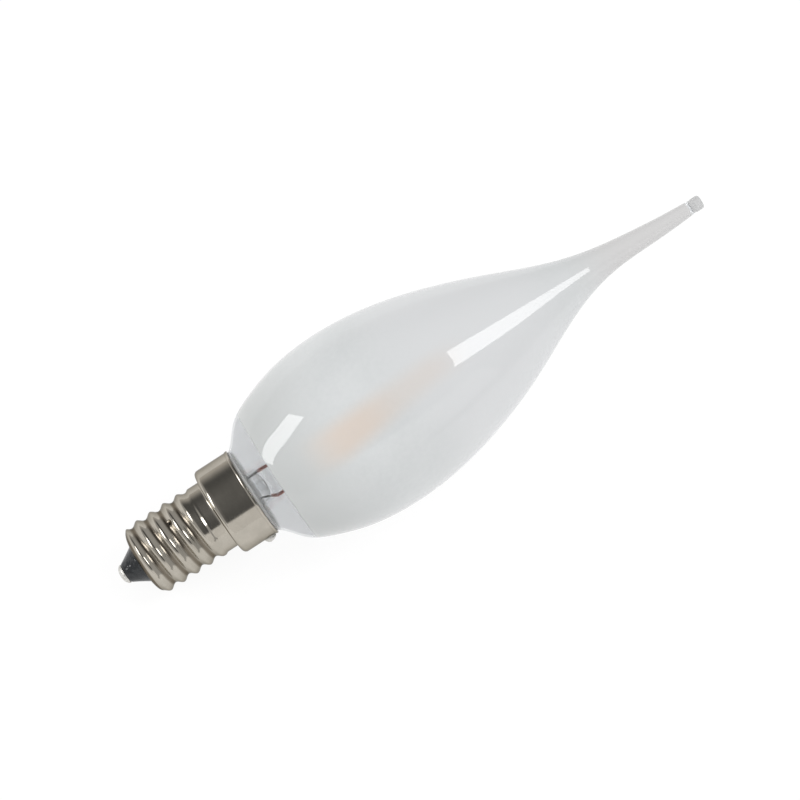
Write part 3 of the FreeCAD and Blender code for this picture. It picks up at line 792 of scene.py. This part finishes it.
def glowShare(f):
    # painted light: where the two strips show through the frost, one soft warm patch painted into the glass's
    # colour,
    # strongest at their feet: a band that narrows upwards about a slanting middle line, faded at both ends
    fade = glow["fade"]
    t = f.clamp(f.z, glow["lowZ"], glow["highZ"])
    middle = glow["lowU"] + t * (glow["highU"] - glow["lowU"])
    half = glow["halfLow"] + t * (glow["halfHigh"] - glow["halfLow"])
    edge = abs(f.towards(glow["deg"]) - middle) - half
    warm = 1 - f.ease(edge, -glow["soft"], glow["soft"])
    warm = warm * f.ease(f.z, glow["fromZ"] - fade, glow["fromZ"] + fade)
    warm = warm * (1 - f.ease(f.z, glow["toZ"] - fade, glow["toZ"] + fade))
    return warm * (1 - (1 - glow["faint"]) * f.ease(f.z, glow["fullZ"] - fade, glow["fullZ"] + fade))


def frostColour(f, bead):
    # clouded white, darker near the neck, lighter over the upper belly, warmer along the tail, and the
    # painted glow of the strips
    cloud = f.noise(f.place, 0.12, 3.0) * 0.55 + f.noise(f.place, 1.1, 4.0, 0.6) * 0.45
    middle = f.ease(f.z, *frost["middleRiseZ"]) * (1 - f.ease(f.z, *frost["middleFallZ"]))
    white = f.blend(f.clamp(cloud, 0.36, 0.64), frost["dark"], frost["light"])
    white = f.blend(1 - f.ease(f.z, *frost["neckToneZ"]), white, frost["neckTone"])
    white = f.blend(middle, white, frost["middleTone"])
    white = f.blend(f.ease(f.z, *frost["tailToneZ"]), white, frost["tailTone"])
    white = f.blend(bead, white, frost["beadTone"])
    return f.blend(glowShare(f) * glow["share"], white, glow["colour"])


def envelopeFinish():
    # frosted within and glossy without; clear below the frost line and at the bead's joint, partly clear in
    # the bead, and pale where it sits in the cement
    f = Finish("envelope glass")
    wave = f.noise(f.place, 0.6, 2.0)
    jointZ, half = frost["jointZ"], frost["jointHalf"]
    joint = f.ease(abs(f.z - jointZ), half, half + frost["jointSoft"])
    bead = f.ease(f.z, jointZ, jointZ + frost["beadSoft"])
    frostShare = f.ease(f.z + wave * frost["wavy"], frost["fromZ"], frost["fromZ"] + frost["soft"])
    frostShare = frostShare * joint * (1 - bead * (1 - frost["beadShare"]))
    frosted = f.surface(
        baseColor=frostColour(f, bead), roughness=0.55, ior=clearGlass["ior"], specular=0.2,
        coat=1.0, coatRoughness=0.015)
    frosted = lightPasses(f, frosted, frost["shadowPasses"])
    bent = solidGlass(f, clearGlass["ior"], f.bump(wave, 0.0002, 0.2))
    clear = f.mix(clearGlass["envelopeThin"], bent, f.through(clearGlass["throughTint"]))
    clear = paleBelow(f, clear, clearGlass["seatToZ"], clearGlass["seatSoft"], clearGlass["seatPale"])
    clear = lightPasses(f, clear, clearGlass["shadowPasses"])
    f.done(f.mix(frostShare, clear, frosted), "envelope", "glass_envelope")


blackGlass = {"glass": (0.020, 0.022, 0.024), "dust": (0.07, 0.07, 0.07), "roughness": 0.05, "ior": 1.45}


def blackGlassFinish():
    # glossy and slightly rippled, with a little dust on it
    f = Finish("black glass")
    ripple = f.noise(f.place, 0.9, 2.0)
    dust = f.noise(f.place, 9.0, 3.0)
    colour = f.blend(f.clamp(dust, 0.62, 0.78), blackGlass["glass"], blackGlass["dust"])
    rough = blackGlass["roughness"] + 0.12 * f.clamp(dust, 0.55, 0.8)
    f.done(f.surface(
        baseColor=colour, roughness=rough, ior=blackGlass["ior"], specular=0.42,
        normal=f.bump(ripple, 0.0003, 0.5)), "black_foot", "cap_insulator")


clearGlassFinish()
envelopeFinish()
blackGlassFinish()
print("glass finishes done")

# finishes of the parts inside

cement = {"dark": (0.52, 0.47, 0.37), "light": (0.74, 0.70, 0.60)}


def cementFinish():
    # dry and gritty
    f = Finish("cement")
    grain = f.noise(f.place, 4.0, 5.0, 0.7)
    colour = f.blend(grain, cement["dark"], cement["light"])
    f.done(f.surface(baseColor=colour, roughness=0.9, normal=f.bump(grain, 0.0002, 0.8)), "basing_cement")


insideParts = {
    "phosphor": {
        "dark": (0.80, 0.50, 0.14), "light": (0.88, 0.60, 0.22), "grain": 1.5, "roughness": 0.55,
        "metallic": 0.0, "pieces": ["phosphor_strip_a", "phosphor_strip_b"]},
    "board": {
        "dark": (0.05, 0.16, 0.08), "light": (0.08, 0.22, 0.11), "grain": 2.0, "roughness": 0.45,
        "metallic": 0.0, "pieces": ["driver_board"]},
    "moulded epoxy": {
        "dark": (0.02, 0.02, 0.02), "light": (0.04, 0.04, 0.04), "grain": 6.0, "roughness": 0.55,
        "metallic": 0.0, "pieces": ["bridge_rectifier", "driver_chip"]},
    "aluminium can": {
        "dark": (0.55, 0.56, 0.57), "light": (0.68, 0.69, 0.70), "grain": 2.0, "roughness": 0.30,
        "metallic": 1.0, "pieces": ["smoothing_capacitor"]},
    "chip resistor": {
        "dark": (0.03, 0.03, 0.03), "light": (0.08, 0.08, 0.08), "grain": 6.0, "roughness": 0.40,
        "metallic": 0.0, "pieces": ["sense_resistors"]},
}


def plainFinish(name, part):
    # moulded or coated part: two close tones in a fine grain
    f = Finish(name)
    grain = f.noise(f.place, part["grain"], 4.0, 0.6)
    colour = f.blend(f.clamp(grain, 0.35, 0.65), part["dark"], part["light"])
    rough = part["roughness"] + 0.12 * grain
    f.done(f.surface(
        baseColor=colour, metallic=part["metallic"], roughness=rough,
        normal=f.bump(grain, 0.0001, 0.4)), *part["pieces"])


cementFinish()
for name, part in insideParts.items():
    plainFinish(name, part)
print("inside finishes done")

# view, table, room and lamps

# deg is the camera's direction about the axis; the point of the axis at pointZ is seen at pointX, pointY
view = {
    "deg": 204.70, "distance": 0.60, "sensor": 36.0,
    "photoSize": 800, "pixelsPerMm": 5.62, "pointX": 376.97, "pointY": 410.79, "pointZ": 54.30,
}
viewTurn = np.radians(view["deg"])
toCamera = under * np.cos(viewTurn) + across * np.sin(viewTurn)
upInPicture = under * np.sin(viewTurn) - across * np.cos(viewTurn)  # square to the axis and to the view


def stand(name, data, x, y, z, at):
    # a camera or lamp whose own three directions run along x, y and z, at that place; it looks along minus z
    holder = bpy.data.objects.new(name, data)
    turn = Matrix([[x[k], y[k], z[k]] for k in range(3)])
    holder.matrix_world = Matrix.Translation(Vector(at)) @ turn.to_4x4()
    bpy.context.scene.collection.objects.link(holder)
    return holder


def addCamera():
    # square to the bulb's axis, its lens worked out from the scale of the photo
    right = unit(np.cross(-toCamera, [0, 0, 1]))
    up = np.cross(right, -toCamera)
    pixel = 1 / view["pixelsPerMm"] / 1000  # in metres, at the axis
    half = view["photoSize"] / 2
    aim = placed(np.array([0.0, 0.0, view["pointZ"]]))
    aim = aim + right * (half - view["pointX"]) * pixel - up * (half - view["pointY"]) * pixel
    data = bpy.data.cameras.new("camera")
    data.sensor_width = view["sensor"]
    data.lens = view["distance"] / pixel / view["photoSize"] * view["sensor"]
    camera = stand("camera", data, right, up, toCamera, aim + toCamera * view["distance"])
    bpy.context.scene.camera = camera


table = {"half": 3.0, "colour": (0.90, 0.90, 0.90), "shows": 0.87, "level": 1.04}


def addTable():
    # a white square that keeps part of the bulb's shadow; the rest of what is seen of it is plain white
    h = table["half"]
    mesh = bpy.data.meshes.new("table_top")
    mesh.from_pydata([(-h, -h, 0), (h, -h, 0), (h, h, 0), (-h, h, 0)], [], [(0, 1, 2, 3)])
    floor = bpy.data.objects.new("table_top", mesh)
    bpy.context.scene.collection.objects.link(floor)
    material = bpy.data.materials.new("white table")
    t = Tree(material)
    dull = t.surface(baseColor=table["colour"], roughness=0.9, specular=0.0)
    white = t.node("ShaderNodeEmission", None, {"Strength": table["level"]})["Emission"]
    t.node("ShaderNodeOutputMaterial", None, {"Surface": t.mix(t.seen() * table["shows"], dull, white)})
    mesh.materials.append(material)


# way is towards the lamp and edge along its first side, both as parts towards the camera, up in the picture
# and along the axis; aimZ is the height on the axis that it faces
lamps = {
    "upper_softbox": {
        "way": (0.510, 0.535, -0.655), "edge": (0.084, 0.333, 0.376), "aimZ": 38.0, "distance": 0.7,
        "size": (0.46, 0.225), "level": 5.8},
    "near_softbox": {
        "way": (0.723, 0.057, 0.688), "edge": (0.0, 0.0, 1.0), "aimZ": 82.0, "distance": 0.8,
        "size": (0.31, 0.31), "level": 5.6},
    "front_card": {
        "way": (0.667, -0.745, 0.0), "edge": (0.0, 0.0, 1.0), "aimZ": 50.0, "distance": 0.9,
        "size": (1.4, 0.50), "level": 0.48},
}


def addSoftbox(name, lamp):
    # a rectangular lamp that faces the bulb; its level is its brightness seen in a mirror
    sight = np.array([toCamera, upInPicture, along])
    out = unit(np.array(lamp["way"]) @ sight)
    edge = np.array(lamp["edge"]) @ sight
    edge = unit(edge - out * (edge @ out))
    data = bpy.data.lights.new(name, "AREA")
    data.shape = "RECTANGLE"
    data.size, data.size_y = lamp["size"]
    data.energy = lamp["level"] * np.pi * data.size * data.size_y
    middle = placed(np.array([0.0, 0.0, lamp["aimZ"]])) + out * lamp["distance"]
    stand(name, data, edge, np.cross(out, edge), out, middle)


room = {
    "level": 0.64, "floor": (0.9, 0.9, 0.9), "horizonDeg": (-1.0, 1.5), "ceiling": (0.120, 0.121, 0.122),
    "wall": (0.46, 0.455, 0.45), "wallTopDeg": (28.5, 33.0),
    "farWall": (0.72, 0.70, 0.68), "farWallTopDeg": (-2.0, 36.0), "farWallFrom": (-0.1, 0.1),
    "endWall": (0.52, 0.52, 0.52), "endWallFrom": (0.22, 0.60),
}


def addRoom():
    # even light on the bulb; seen in metal and glass, the room is white up to the horizon, then a grey wall,
    # then a dark ceiling, and a plain grey towards its two ends
    world = bpy.data.worlds.new("studio")
    w = Tree(world)
    generated = w.node("ShaderNodeTexCoord")["Generated"]
    way = w.node("ShaderNodeSeparateXYZ", None, {0: generated})

    def above(degrees):  # 0 below the first of two heights over the horizon, 1 over the second
        return w.ease(way["Z"], *np.sin(np.radians(degrees)).tolist())

    near = w.blend(above(room["wallTopDeg"]), room["wall"], room["ceiling"])
    far = w.blend(above(room["farWallTopDeg"]), room["farWall"], room["ceiling"])
    walls = w.blend(w.ease(way["Y"], *room["farWallFrom"]), near, far)
    walls = w.blend(w.ease(abs(way["X"]), *room["endWallFrom"]), walls, room["endWall"])
    colour = w.blend(above(room["horizonDeg"]), room["floor"], walls)
    even = w.node("ShaderNodeBackground", None, {"Color": (1, 1, 1, 1), "Strength": room["level"]})
    shown = w.node("ShaderNodeBackground", None, {"Color": colour})
    mixed = w.mix(w.seen(), even["Background"], shown["Background"])
    w.node("ShaderNodeOutputWorld", None, {"Surface": mixed})
    bpy.context.scene.world = world


addTable()
addRoom()
for name, lamp in lamps.items():
    addSoftbox(name, lamp)
addCamera()
bpy.context.scene.view_settings.view_transform = "Standard"
print("table, room, lamps and camera done")
